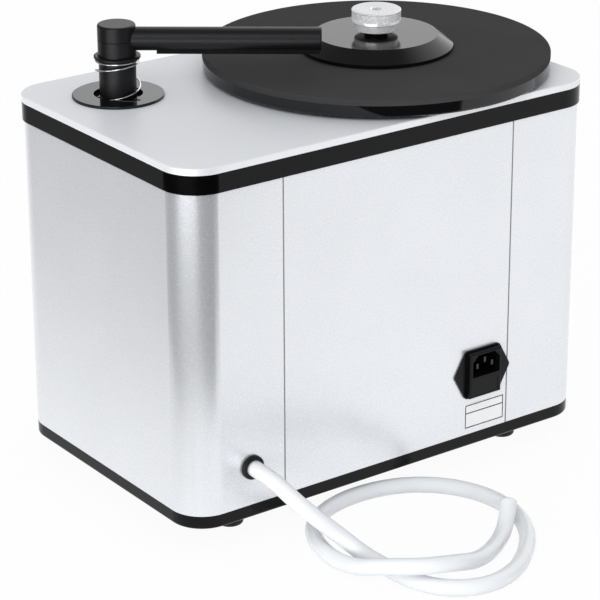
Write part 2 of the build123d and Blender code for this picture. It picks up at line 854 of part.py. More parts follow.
# -------------------------------------------------------------- suction fan and duct
mount_top = body_z + mount_height
put("fan_mount", ring(vac_x, vac_y, body_z, mount_top, mount_outer, mount_inner))
fan_top = mount_top + fan_height
neck_end = fan_top + fan_neck_height
fan = rod(vac_x, vac_y, mount_top, fan_top, fan_radius)
fan = fillet(fan.edges().group_by(Axis.Z)[-1], fan_corner)
fan = fan + rod(vac_x, vac_y, fan_top, neck_end, fan_neck_radius)
fan = fan - rod(vac_x, vac_y, neck_end - fan_socket, neck_end, duct_radius)
put("suction_fan", fan)
duct_line = FilletPolyline(
    (tank_left, vac_y, duct_z),
    (vac_x, vac_y, duct_z),
    (vac_x, vac_y, neck_end - fan_socket),
    radius=duct_bend,
)
duct_face = Plane(origin=duct_line @ 0, z_dir=duct_line % 0)
duct_ring = Circle(duct_radius) - Circle(duct_radius - duct_wall)
put("suction_duct", sweep(duct_face * duct_ring, path=duct_line))

# ------------------------------------------------------------- board and capacitor
board_x = body_x + board_shift
board_y = front_y + wall + board_stand
board_face = board_y + board_thick
board_low = body_z + board_rise
board_high = board_low + board_tall
board = block(
    board_x - board_half, board_x + board_half, board_y, board_face, board_low, board_high
)
standoff_x = board_half - board_margin
for x in (board_x - standoff_x, board_x + standoff_x):
    for z in (board_low + board_margin, board_high - board_margin):
        board = board + lying(x, front_y + wall, board_y, z, standoff_radius)
for left, right, low, high, depth in chip_rows:
    board = board + block(
        board_x + left,
        board_x + right,
        board_face,
        board_face + depth,
        board_low + low,
        board_low + high,
    )
put("control_board", board)
can_x = body_x + can_shift
can_top = body_z + can_height
run_cap = rod(can_x, can_y, body_z, can_top, can_radius)
run_cap = fillet(run_cap.edges().group_by(Axis.Z)[-1], can_corner)
run_cap = run_cap + rod(can_x, can_y, can_top, can_top + tag_height, tag_radius)
put("motor_capacitor", run_cap)

# ---------------------------------------------------------------------- mains inlet
out_y = back_y + inlet_out
hexagon = [
    (flange_wide / 2, 0),
    (flange_top / 2, flange_tall / 2),
    (-flange_top / 2, flange_tall / 2),
    (-flange_wide / 2, 0),
    (-flange_top / 2, -flange_tall / 2),
    (flange_top / 2, -flange_tall / 2),
]
back_plane = Plane(origin=(socket_x, back_y, inlet_z), x_dir=(1, 0, 0), z_dir=(0, -1, 0))
flange = extrude(back_plane * make_face(Polyline(*hexagon, close=True)), -flange_thick)
flange = fillet(flange.edges().filter_by(Axis.Y), flange_corner)
inlet_low = inlet_z - inlet_tall / 2
inlet_high = inlet_z + inlet_tall / 2
inlet_back = back_y - inlet_deep
raised = block(
    socket_x - body_half, socket_x + body_half, inlet_back, out_y, inlet_low, inlet_high
)
raised = chamfer(raised.faces().sort_by(Axis.Y)[-1].edges(), inlet_edge)
inlet = flange + raised
cavity_top = inlet_high - cavity_rim
cavity_low = cavity_top - cavity_tall
half = cavity_wide / 2
mouth = block(
    socket_x - half, socket_x + half, out_y - cavity_depth, out_y, cavity_low, cavity_top
)
mouth = chamfer(mouth.edges().filter_by(Axis.Y).group_by(Axis.Z)[-1], cavity_cut)
drawer_low = inlet_low + drawer_rim
drawer_high = drawer_low + drawer_tall
drawer_back = back_y - drawer_deep
pocket = block(
    socket_x - drawer_wide / 2 - drawer_gap,
    socket_x + drawer_wide / 2 + drawer_gap,
    drawer_back - drawer_gap,
    out_y,
    drawer_low - drawer_gap,
    drawer_high + drawer_gap,
)
inlet = inlet - mouth - pocket
pins = []
pin_mid = (cavity_low + cavity_top) / 2 - blade_drop
for shift, rise in ((-blade_spread, 0), (blade_spread, 0), (0, blade_rise)):
    blade = block(
        socket_x + shift - blade_half_thick,
        socket_x + shift + blade_half_thick,
        inlet_back - blade_tail,
        out_y - blade_inset,
        pin_mid + rise - blade_half_wide,
        pin_mid + rise + blade_half_wide,
    )
    pins.append(blade)
put("inlet_housing", inlet - pins)
put("inlet_pins", Compound(pins))
drawer = block(
    socket_x - drawer_wide / 2,
    socket_x + drawer_wide / 2,
    drawer_back,
    out_y - drawer_inset,
    drawer_low,
    drawer_high,
)
tray_half = drawer_wide / 2 - tray_side
tray_z = drawer_low + tray_floor
tray_y = drawer_back + tray_wall
tray_end = out_y - tray_front
drawer = drawer - block(
    socket_x - tray_half, socket_x + tray_half, tray_y, tray_end, tray_z, drawer_high
)
put("fuse_drawer", drawer)
fuse_half = fuse_length / 2
fuse_y = (tray_y + tray_end) / 2
fuse = across(socket_x - fuse_half, socket_x + fuse_half, fuse_y, tray_z + fuse_radius, fuse_radius)
put("fuse", fuse)

# --------------------------------------------------------------------- front rockers
pivot_y = front_y + pivot_depth
room_wide = rocker_wide / 2 + rocker_gap
room_tall = rocker_radius + rocker_gap
reach = 3 * rocker_radius


def rocker_face(x, side):
    """The half of the lever above or below its pivot, behind one flat face."""
    half_lever = Pos(0, reach / 2 - rocker_stand, side * reach / 2) * Box(reach, reach, reach)
    return Pos(x, pivot_y, switch_z) * Rot(side * rocker_dish, 0, 0) * half_lever


for number, x in enumerate(switch_places, start=1):
    bezel = block(
        x - bezel_wide / 2 - bezel_rim,
        x + bezel_wide / 2 + bezel_rim,
        front_y - bezel_out,
        front_y,
        switch_z - bezel_tall / 2 - bezel_rim,
        switch_z + bezel_tall / 2 + bezel_rim,
    )
    bezel = chamfer(bezel.faces().sort_by(Axis.Y)[0].edges(), 0.8)
    bezel = bezel + block(
        x - bezel_wide / 2,
        x + bezel_wide / 2,
        front_y,
        front_y + bezel_deep,
        switch_z - bezel_tall / 2,
        switch_z + bezel_tall / 2,
    )
    bezel = bezel - block(
        x - room_wide,
        x + room_wide,
        front_y - bezel_out,
        front_y + bezel_room,
        switch_z - room_tall,
        switch_z + room_tall,
    )
    put("switch_bezel_%d" % number, bezel)
    wheel = across(x - rocker_wide / 2, x + rocker_wide / 2, pivot_y, switch_z, rocker_radius)
    lever = wheel & (rocker_face(x, 1) + rocker_face(x, -1))
    lever = lever & block(
        x - reach,
        x + reach,
        pivot_y - reach,
        pivot_y + rocker_back,
        switch_z - reach,
        switch_z + reach,
    )
    turned = Pos(x, pivot_y, switch_z) * Rot(-rocker_tilt, 0, 0) * Pos(-x, -pivot_y, -switch_z)
    put("rocker_%d" % number, turned * lever)
print("object top", round(head_z, 2), "hose starts", (hose_x, round(face_y, 2), outlet_z))
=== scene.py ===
import json
import math

import bmesh
import bpy
from mathutils import Matrix, Vector


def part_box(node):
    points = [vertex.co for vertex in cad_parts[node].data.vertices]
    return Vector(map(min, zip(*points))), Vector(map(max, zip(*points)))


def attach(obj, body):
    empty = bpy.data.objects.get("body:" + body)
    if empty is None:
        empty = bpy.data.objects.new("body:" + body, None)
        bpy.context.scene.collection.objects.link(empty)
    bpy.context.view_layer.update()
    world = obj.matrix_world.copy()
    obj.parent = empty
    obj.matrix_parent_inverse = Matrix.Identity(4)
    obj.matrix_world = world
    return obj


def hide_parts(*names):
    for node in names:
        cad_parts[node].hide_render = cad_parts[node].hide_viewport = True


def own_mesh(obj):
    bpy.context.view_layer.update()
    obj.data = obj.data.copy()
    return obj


# Looks for the record cleaning machine. Metres, +Z up, the floor at z = 0.
MM = 0.001

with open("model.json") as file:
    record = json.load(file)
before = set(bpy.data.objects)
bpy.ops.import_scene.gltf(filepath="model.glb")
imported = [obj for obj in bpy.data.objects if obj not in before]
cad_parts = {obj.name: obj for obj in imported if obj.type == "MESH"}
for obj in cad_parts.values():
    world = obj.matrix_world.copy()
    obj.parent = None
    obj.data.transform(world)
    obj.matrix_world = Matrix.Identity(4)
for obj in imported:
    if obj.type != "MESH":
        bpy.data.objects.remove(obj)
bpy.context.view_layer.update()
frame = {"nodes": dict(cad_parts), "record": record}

# ------------------------------------------------------------------ camera
CAMERA_AZIMUTH = 144.068
CAMERA_ELEVATION = 22.116
CAMERA_ROLL = -0.249
CAMERA_DISTANCE = 1.97408
CAMERA_TARGET = Vector((0.01134, 0.0, 0.11612))
FOCAL_PIXELS = 2598.6
PHOTO_WIDTH = 600.0
SENSOR = 36.0


def place_camera():
    """The camera at the photograph's angle, with no shift."""
    turn = math.radians(CAMERA_AZIMUTH)
    rise = math.radians(CAMERA_ELEVATION)
    back = Vector(
        (
            math.sin(turn) * math.cos(rise),
            -math.cos(turn) * math.cos(rise),
            math.sin(rise),
        )
    )
    right = Vector((0, 0, 1)).cross(back).normalized()
    up = back.cross(right)
    roll = math.radians(CAMERA_ROLL)
    tilted_right = right * math.cos(roll) + up * math.sin(roll)
    tilted_up = back.cross(tilted_right)
    data = bpy.data.cameras.new("camera")
    data.sensor_width = SENSOR
    data.lens = FOCAL_PIXELS / PHOTO_WIDTH * SENSOR
    data.clip_end = 50.0
    camera = bpy.data.objects.new("camera", data)
    axes = Matrix((tilted_right, tilted_up, back)).transposed()
    place = CAMERA_TARGET + back * CAMERA_DISTANCE
    camera.matrix_world = Matrix.Translation(place) @ axes.to_4x4()
    bpy.context.collection.objects.link(camera)
    bpy.context.scene.camera = camera


place_camera()


# ------------------------------------------------------------------ materials
def new_material(name, color, rough, metal=0.0, **sockets):
    """A Principled material; other sockets are given by name."""
    material = bpy.data.materials.new(name)
    material.use_nodes = True
    shader = material.node_tree.nodes["Principled BSDF"]
    shader.inputs["Base Color"].default_value = (*color, 1.0)
    shader.inputs["Roughness"].default_value = rough
    shader.inputs["Metallic"].default_value = metal
    for socket, value in sockets.items():
        shader.inputs[socket.replace("_", " ")].default_value = value
    return material


def node(material, kind, **values):
    """A node with some of its inputs set by name."""
    made = material.node_tree.nodes.new(kind)
    for socket, value in values.items():
        made.inputs[socket.replace("_", " ")].default_value = value
    return made


def link(material, start, end):
    material.node_tree.links.new(start, end)


def place_of(material, stretch=(1.0, 1.0, 1.0)):
    """The object's own coordinates, stretched along its axes."""
    coordinates = node(material, "ShaderNodeTexCoord")
    mapping = node(material, "ShaderNodeMapping", Scale=stretch)
    link(material, coordinates.outputs["Object"], mapping.inputs["Vector"])
    return mapping.outputs["Vector"]


def noise(material, scale, detail=2.0, stretch=(1.0, 1.0, 1.0)):
    """A noise of a given fineness, from 0 to 1."""
    made = node(material, "ShaderNodeTexNoise", Scale=scale, Detail=detail)
    link(material, place_of(material, stretch), made.inputs["Vector"])
    return made.outputs["Fac"]


def spread(material, source, low, high, start=0.3, end=0.7):
    """A number that runs from low to high as the source runs from start to end."""
    made = material.node_tree.nodes.new("ShaderNodeMapRange")
    made.inputs["From Min"].default_value = start
    made.inputs["From Max"].default_value = end
    made.inputs["To Min"].default_value = low
    made.inputs["To Max"].default_value = high
    link(material, source, made.inputs["Value"])
    return made.outputs["Result"]


def tint(material, source, first, second, start=0.3, end=0.7):
    """A colour between two, by a source."""
    ramp = material.node_tree.nodes.new("ShaderNodeValToRGB")
    ramp.color_ramp.elements[0].position = start
    ramp.color_ramp.elements[0].color = (*first, 1.0)
    ramp.color_ramp.elements[1].position = end
    ramp.color_ramp.elements[1].color = (*second, 1.0)
    link(material, source, ramp.inputs["Fac"])
    return ramp.outputs["Color"]


def bump(material, height, depth, strength=1.0):
    """Small relief of a given depth in metres."""
    made = node(material, "ShaderNodeBump", Strength=strength, Distance=depth)
    link(material, height, made.inputs["Height"])
    link(material, made.outputs["Normal"], surface(material).inputs["Normal"])


def surface(material):
    return material.node_tree.nodes["Principled BSDF"]


def shade(color, factor):
    """A colour made lighter or darker."""
    return tuple(min(1.0, part * factor) for part in color)


def dressed(name, color, rough, metal, scale, depth, vary, rough_vary, stretch=(1, 1, 1), **sockets):
    """A material with fine relief and small changes of colour and roughness."""
    material = new_material(name, color, rough, metal, **sockets)
    fine = noise(material, scale, 3.0, stretch)
    broad = noise(material, scale / 12.0, 2.0, stretch)
    low = shade(color, 1.0 - vary)
    high = shade(color, 1.0 + vary)
    link(material, tint(material, broad, low, high), surface(material).inputs["Base Color"])
    roughness = spread(material, fine, rough - rough_vary, rough + rough_vary)
    link(material, roughness, surface(material).inputs["Roughness"])
    bump(material, fine, depth)
    return material


def silver_paint():
    """Fine-grained silver: bright flakes in a satin coat."""
    color = (0.825, 0.842, 0.875)
    material = new_material("silver_paint", color, 0.26, 0.7)
    flakes = noise(material, 2600.0, 2.0)
    broad = noise(material, 14.0, 2.0)
    link(
        material,
        tint(material, broad, shade(color, 0.985), shade(color, 1.015)),
        surface(material).inputs["Base Color"],
    )
    link(material, spread(material, flakes, 0.23, 0.28), surface(material).inputs["Roughness"])
    bump(material, flakes, 0.00001, 0.13)
    return material


def satin_top():
    """Pale satin top face; the bare edge below it is bright."""
    material = new_material("satin_top", (0.678, 0.69, 0.715), 0.42, 0.0)
    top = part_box("top_plate")[1][2]
    coordinates = node(material, "ShaderNodeTexCoord")
    parts = node(material, "ShaderNodeSeparateXYZ")
    link(material, coordinates.outputs["Object"], parts.inputs["Vector"])
    face = spread(material, parts.outputs["Z"], 0.0, 1.0, top - 0.5 * MM, top - 0.2 * MM)
    flat = tint(material, face, (0.86, 0.87, 0.89), (0.678, 0.69, 0.715), 0.0, 1.0)
    link(material, flat, surface(material).inputs["Base Color"])
    link(material, spread(material, face, 0.35, 0.0, 0.0, 1.0), surface(material).inputs["Metallic"])
    link(material, spread(material, face, 0.36, 0.42, 0.0, 1.0), surface(material).inputs["Roughness"])
    bump(material, noise(material, 900.0, 3.0), 0.00002, 0.5)
    return material


def mat_foam():
    """Charcoal foam: a fine nap with faint clouds."""
    color = (0.043, 0.042, 0.041)
    material = new_material("charcoal_foam", color, 0.93, 0.0, Specular_IOR_Level=0.15)
    grain = noise(material, 2200.0, 4.0)
    clouds = noise(material, 22.0, 3.0)
    link(
        material,
        tint(material, clouds, shade(color, 0.95), shade(color, 1.05)),
        surface(material).inputs["Base Color"],
    )
    bump(material, grain, 0.0002, 0.5)
    return material


def turned_black():
    """Black clamp disc, turned: fine rings around its middle and a half gloss."""
    material = new_material("turned_black", (0.003, 0.003, 0.0033), 0.12, 0.0, Specular_IOR_Level=0.32)
    rings = node(material, "ShaderNodeTexWave", Scale=900.0, Distortion=0.0)
    rings.wave_type = "RINGS"
    rings.rings_direction = "Z"
    coordinates = node(material, "ShaderNodeTexCoord")
    shift = node(material, "ShaderNodeMapping", Location=(-CLAMP_CENTRE[0], -CLAMP_CENTRE[1], 0.0))
    link(material, coordinates.outputs["Object"], shift.inputs["Vector"])
    link(material, shift.outputs["Vector"], rings.inputs["Vector"])
    bump(material, rings.outputs["Fac"], 0.000006, 0.35)
    smudge = noise(material, 60.0, 3.0)
    link(material, spread(material, smudge, 0.09, 0.15), surface(material).inputs["Roughness"])
    return material


KNOB_STEP = 5.7 * MM


def knob_metal():
    """Bright turned metal; the top face gets a darker grey, painted shade on the same metal."""
    material = new_material("turned_aluminium", (0.94, 0.94, 0.95), 0.24, 0.4)
    low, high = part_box("clamp_knob")
    coordinates = node(material, "ShaderNodeTexCoord")
    parts = node(material, "ShaderNodeSeparateXYZ")
    link(material, coordinates.outputs["Object"], parts.inputs["Vector"])
    height = parts.outputs["Z"]
    face = spread(material, height, 0.0, 1.0, high[2] - 0.2 * MM, high[2] - 0.05 * MM)
    rows = noise(material, 420.0, 2.0, (1.0, 1.0, 3.0))
    side = tint(material, rows, (0.87, 0.87, 0.88), (0.98, 0.98, 0.99), 0.38, 0.62)
    blend = material.node_tree.nodes.new("ShaderNodeMix")
    blend.data_type = "RGBA"
    colors = [socket for socket in blend.inputs if socket.type == "RGBA"]
    link(material, face, blend.inputs["Factor"])
    link(material, side, colors[0])
    # painted shade: the top face's darker grey is a shaded copy of the same turned metal
    colors[1].default_value = (0.54, 0.54, 0.545, 1.0)
    results = [socket for socket in blend.outputs if socket.type == "RGBA"]
    link(material, results[0], surface(material).inputs["Base Color"])
    link(material, spread(material, rows, 0.2, 0.28), surface(material).inputs["Roughness"])
    return material


def milky_hose():
    """Soft clear tube, milky and slightly blue."""
    material = new_material(
        "milky_hose",
        (0.89, 0.93, 0.97),
        0.26,
        0.0,
        IOR=1.42,
        Subsurface_Weight=0.25,
        Subsurface_Scale=0.004,
        Transmission_Weight=0.15,
        Coat_Weight=0.25,
        Coat_Roughness=0.12,
    )
    surface(material).inputs["Subsurface Radius"].default_value = (1.0, 1.1, 1.3)
    cloud = noise(material, 45.0, 2.0)
    link(
        material,
        tint(material, cloud, (0.90, 0.935, 0.975), (0.935, 0.958, 0.985)),
        surface(material).inputs["Base Color"],
    )
    bump(material, noise(material, 300.0, 2.0), 0.00004, 0.4)
    return material


def node_centre(name):
    low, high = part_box(name)
    return [(a + b) / 2 for a, b in zip(low, high)]


CLAMP_CENTRE = node_centre("clamp_disc")

MATERIALS = {
    "silver_painted_steel": silver_paint(),
    "brushed_top": satin_top(),
    "black_frame": dressed("satin_black", (0.0012, 0.0012, 0.0014), 0.15, 0.0, 900.0, 0.000005, 0.08, 0.03, Specular_IOR_Level=0.2),
    "foot_rubber": dressed("black_rubber", (0.004, 0.004, 0.0045), 0.5, 0.0, 700.0, 0.00005, 0.1, 0.06, Specular_IOR_Level=0.3),
    "zinc_screw": dressed("zinc", (0.62, 0.62, 0.61), 0.35, 1.0, 600.0, 0.00002, 0.05, 0.06),
    "bare_aluminium": dressed("bare_aluminium", (0.75, 0.75, 0.76), 0.36, 1.0, 500.0, 0.00002, 0.03, 0.05),
    # The zinc sheet's dark grey is painted shade: the seam rails behind the back panel show through the gaps as dark
    # lines.
    "zinc_sheet": dressed("zinc_sheet", (0.24, 0.245, 0.25), 0.5, 0.8, 200.0, 0.00002, 0.06, 0.06),
    "gloss_black_disc": dressed("gloss_black", (0.003, 0.003, 0.0035), 0.05, 0.0, 120.0, 0.000004, 0.1, 0.015),
    "black_anodised": dressed("black_anodised", (0.003, 0.003, 0.004), 0.4, 0.0, 1400.0, 0.00002, 0.1, 0.06, Specular_IOR_Level=0.35),
    "black_clamp": turned_black(),
    "spring_wire": dressed("bright_wire", (0.82, 0.82, 0.82), 0.16, 1.0, 900.0, 0.00001, 0.03, 0.04),
    "felt": dressed("black_felt", (0.006, 0.006, 0.0065), 0.95, 0.0, 2600.0, 0.0002, 0.2, 0.03, Specular_IOR_Level=0.1),
    "gloss_platter": dressed("platter_gloss", (0.0025, 0.0025, 0.003), 0.07, 0.0, 150.0, 0.000006, 0.1, 0.03),
    "mat_foam": mat_foam(),
    "ground_steel": dressed("ground_steel", (0.68, 0.68, 0.68), 0.25, 1.0, 700.0, 0.00001, 0.04, 0.05),
    "turned_aluminium": knob_metal(),
    "black_plastic": dressed("black_plastic", (0.003, 0.003, 0.0036), 0.34, 0.0, 1300.0, 0.00003, 0.1, 0.06, Specular_IOR_Level=0.2),
    "rocker_plastic": dressed("rocker_plastic", (0.015, 0.015, 0.016), 0.22, 0.0, 500.0, 0.00002, 0.1, 0.04),
    # The inlet blades' near-black colour is painted shade of the inlet's dark cavity, not the nickel's own tone.
    "inlet_blade": dressed("nickel_in_painted_shade", (0.07, 0.06, 0.05), 0.3, 1.0, 500.0, 0.00001, 0.04, 0.05),
    "grey_plastic": dressed("grey_plastic", (0.45, 0.46, 0.47), 0.45, 0.0, 700.0, 0.00003, 0.05, 0.05),
    "tank_plastic": dressed("tank_plastic", (0.80, 0.80, 0.78), 0.4, 0.0, 300.0, 0.00003, 0.03, 0.05),
    "clear_hose": milky_hose(),
    "bronze": dressed("bronze", (0.62, 0.42, 0.22), 0.35, 1.0, 700.0, 0.00002, 0.06, 0.05),
    "motor_case": dressed("motor_grey", (0.30, 0.31, 0.32), 0.4, 0.2, 500.0, 0.00003, 0.05, 0.05),
    "board_green": dressed("board_green", (0.06, 0.22, 0.10), 0.35, 0.0, 400.0, 0.00002, 0.08, 0.05),
    "fuse_glass": dressed("fuse_glass", (0.85, 0.88, 0.88), 0.08, 0.0, 200.0, 0.000004, 0.02, 0.02, Transmission_Weight=0.8),
}


def wear(piece, slot):
    """Give a piece the material of one of the record's slots."""
    piece.data.materials.clear()
    piece.data.materials.append(MATERIALS[slot])


SLOT_OF = {part["node"]: part["material_slot"] for part in frame["record"]["subparts"]}
for name, piece in frame["nodes"].items():
    wear(piece, SLOT_OF[name])


# ------------------------------------------------------------------ mesh helpers
def add_mesh(name, mesh, body, slot, *replaced):
    """A finished bmesh becomes a piece that wears a slot's material and rides on a body; any replaced parts are hidden.
    """
    data = bpy.data.meshes.new(name)
    bmesh.ops.recalc_face_normals(mesh, faces=mesh.faces)
    mesh.to_mesh(data)
    mesh.free()
    piece = bpy.data.objects.new(name, data)
    bpy.context.collection.objects.link(piece)
    wear(piece, slot)
    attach(piece, body)
    if replaced:
        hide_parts(*replaced)
    return piece


def smooth(piece, angle=35.0):
    """Smooth faces, with edges sharper than the angle kept."""
    piece.data.polygons.foreach_set("use_smooth", [True] * len(piece.data.polygons))
    piece.data.set_sharp_from_angle(angle=math.radians(angle))


def turned_mesh(centre, profile, steps, ripple=None):
    """A closed turned form around Z: profile is (radius, height) from its lower inner edge round."""
    mesh = bmesh.new()
    rows = []
    for step in range(steps):
        angle = 2 * math.pi * step / steps
        row = []
        for number, (radius, height) in enumerate(profile):
            reach = radius + (ripple(number, step) if ripple else 0.0)
            spot = (
                centre[0] + reach * math.cos(angle),
                centre[1] + reach * math.sin(angle),
                height,
            )
            row.append(mesh.verts.new(spot))
        rows.append(row)
    count = len(profile)
    for step in range(steps):
        here = rows[step]
        there = rows[(step + 1) % steps]
        for number in range(count):
            after = (number + 1) % count
            mesh.faces.new((here[number], there[number], there[after], here[after]))
    return mesh


# ------------------------------------------------------------------ drain hose
HOSE_RADIUS = 6.0 * MM
HOSE_WALL = 2.0 * MM
FACE_Y = 118.5
FLOOR_Z = 6.1
HOSE_ROUTE = [
    (137.6, FACE_Y, 56.8),
    (137.6, FACE_Y + 15.0, 56.8),
    (135.2, 147.7, 52.3),
    (129.6, 160.4, 43.3),
    (119.2, 169.1, 31.5),
    (106.6, 177.2, 18.8),
    (98.8, 192.4, 9.0),
    (94.7, 212.9, FLOOR_Z),
    (93.7, 238.0, FLOOR_Z),
    (82.6, 264.2, FLOOR_Z),
    (56.2, 279.1, FLOOR_Z),
    (27.1, 274.2, FLOOR_Z),
    (0.1, 255.5, FLOOR_Z),
    (-24.3, 228.1, FLOOR_Z),
    (-36.4, 191.5, FLOOR_Z),
    (-28.9, 152.5, FLOOR_Z),
    (-3.3, 124.0, FLOOR_Z),
    (32.1, 112.3, FLOOR_Z),
    (70.1, 115.9, FLOOR_Z),
    (101.2, 134.7, FLOOR_Z),
    (116.1, 168.6, FLOOR_Z),
    (115.8, 200.1, FLOOR_Z),
    (110.8, 233.7, 19.1),
    (93.9, 253.1, 22.0),
    (68.5, 260.5, 20.2),
    (37.7, 251.3, 9.2),
    (2.4, 230.2, FLOOR_Z),
    (-12.0, 219.3, 13.5),
    (-19.5, 211.5, 21.8),
]


def make_hose():
    """One limp tube, from the grommet round its loop to its open end."""
    data = bpy.data.curves.new("hose_tube", "CURVE")
    data.dimensions = "3D"
    data.bevel_depth = HOSE_RADIUS
    data.bevel_resolution = 7
    data.resolution_u = 14
    data.use_fill_caps = False
    spline = data.splines.new("NURBS")
    spline.points.add(len(HOSE_ROUTE) - 1)
    for point, place in zip(spline.points, HOSE_ROUTE):
        point.co = (*(part * MM for part in place), 1.0)
    spline.order_u = 3
    spline.use_endpoint_u = True
    spline.use_smooth = True
    hose = bpy.data.objects.new("hose_tube", data)
    bpy.context.collection.objects.link(hose)
    wall = hose.modifiers.new("wall", "SOLIDIFY")
    wall.thickness = HOSE_WALL
    wall.offset = -1.0
    data.materials.append(MATERIALS["clear_hose"])
    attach(hose, "housing")
    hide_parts("drain_hose")


make_hose()


# ------------------------------------------------------------------ clamp knob
def make_knob():
    """Turned knob: smooth foot, groove, diamond knurl, plain rim and a dished top."""
    low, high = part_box("clamp_knob")
    base = low[2]
    top = high[2]
    radius = (high[0] - low[0]) / 2
    foot = 16.5 * MM
    bore = 3.65 * MM
    step = base + KNOB_STEP
    knurl_low = step + 2.3 * MM
    knurl_high = top - 1.0 * MM
    rows = 20
    profile = [
        (bore, base),
        (foot - 0.9 * MM, base),
        (foot - 0.25 * MM, base + 0.25 * MM),
        (foot, base + 0.9 * MM),
        (foot, step - 0.5 * MM),
        (foot - 0.5 * MM, step - 0.05 * MM),
        (foot - 0.5 * MM, step),
        (radius - 0.7 * MM, step),
        (radius - 0.2 * MM, step + 0.2 * MM),
        (radius, step + 0.6 * MM),
    ]
    first = len(profile)
    for row in range(rows + 1):
        height = knurl_low + (knurl_high - knurl_low) * row / rows
        profile.append((radius - 0.12 * MM, height))
    last = len(profile) - 1
    profile += [
        (radius, knurl_high + 0.2 * MM),
        (radius - 0.15 * MM, top - 0.3 * MM),
        (radius - 0.7 * MM, top),
        (bore + 1.6 * MM, top),
        (bore + 0.7 * MM, top - 0.2 * MM),
        (bore, top - 0.9 * MM),
    ]
    steps = 360
    pitch = 6

    def knurl(number, turn):
        if not first < number < last:
            return 0.0
        row = number - first
        one = abs(((turn + row) % pitch) / pitch - 0.5) * 2
        two = abs(((turn - row) % pitch) / pitch - 0.5) * 2
        return -0.42 * MM * max(one, two) ** 3

    piece = add_mesh(
        "knob_turned",
        turned_mesh(CLAMP_CENTRE, profile, steps, knurl),
        "clamp_knob",
        "turned_aluminium",
        "clamp_knob",
    )
    smooth(piece, 28.0)


make_knob()


# ------------------------------------------------------------------ rating plate
PLATE_LOW = (-95.2, 31.7)
PLATE_HIGH = (-57.0, 51.8)
PLATE_DIVIDE = 44.4


def rounded_outline(low, high, radius, inset=0.0, corner_steps=6):
    """Points round a rounded rectangle, counter-clockwise in (x, z), in metres."""
    points = []
    left, bottom = low[0] + inset, low[1] + inset
    right, top = high[0] - inset, high[1] - inset
    bend = max(radius - inset, 0.05)
    corners = [
        (right - bend, top - bend, 0),
        (left + bend, top - bend, 90),
        (left + bend, bottom + bend, 180),
        (right - bend, bottom + bend, 270),
    ]
    for x, z, start in corners:
        for step in range(corner_steps + 1):
            angle = math.radians(start + 90 * step / corner_steps)
            points.append(((x + bend * math.cos(angle)) * MM, (z + bend * math.sin(angle)) * MM))
    return points


def make_rating_plate():
    """A bare white plate with a thin raised grey frame and one divider line."""
    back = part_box("back_panel")[1][1]
    mesh = bmesh.new()
    outline = rounded_outline(PLATE_LOW, PLATE_HIGH, 1.4)
    lower = [mesh.verts.new((x, back, z)) for x, z in outline]
    upper = [mesh.verts.new((x, back + 0.12 * MM, z)) for x, z in outline]
    mesh.faces.new(upper)
    mesh.faces.new(list(reversed(lower)))
    for number in range(len(outline)):
        after = (number + 1) % len(outline)
        mesh.faces.new((lower[number], lower[after], upper[after], upper[number]))
    plate = add_mesh("rating_plate", mesh, "housing", "silver_painted_steel")
    plate.data.materials[0] = MATERIALS["label_white"]

    mesh = bmesh.new()
    outer = rounded_outline(PLATE_LOW, PLATE_HIGH, 1.4, 0.6)
    inner = rounded_outline(PLATE_LOW, PLATE_HIGH, 1.4, 1.4)
    face = back + 0.17 * MM
    lines = []
    for points in (outer, inner):
        lines.append([mesh.verts.new((x, face, z)) for x, z in points])
        lines.append([mesh.verts.new((x, back + 0.05 * MM, z)) for x, z in points])
    outer_top, outer_low, inner_top, inner_low = lines
    for number in range(len(outer)):
        after = (number + 1) % len(outer)
        for first, second in (
            (outer_top, inner_top),
            (inner_top, inner_low),
            (inner_low, outer_low),
            (outer_low, outer_top),
        ):
            mesh.faces.new((first[number], first[after], second[after], second[number]))
    size = (PLATE_HIGH[0] - PLATE_LOW[0] - 2.0) * MM
    middle = (PLATE_HIGH[0] + PLATE_LOW[0]) / 2 * MM
    bar = Matrix.Translation((middle, back + 0.11 * MM, PLATE_DIVIDE * MM))
    bar = bar @ Matrix.Diagonal((size, 0.12 * MM, 0.85 * MM, 1.0))
    bmesh.ops.create_cube(mesh, size=1.0, matrix=bar)
    lines = add_mesh("rating_plate_lines", mesh, "housing", "silver_painted_steel")
    lines.data.materials[0] = MATERIALS["label_line"]


MATERIALS["label_white"] = dressed(
    "label_white", (0.9, 0.9, 0.9), 0.45, 0.0, 500.0, 0.00001, 0.01, 0.04
)
MATERIALS["label_line"] = dressed(
    "label_line", (0.012, 0.012, 0.013), 0.5, 0.0, 500.0, 0.00001, 0.05, 0.04
)
make_rating_plate()


# ------------------------------------------------------------------ seam shade strips (painted shade)
SEAM_GAP = 0.5 * MM
SEAM_WIDTH = 1.2 * MM
SEAM_RISE = 0.08 * MM


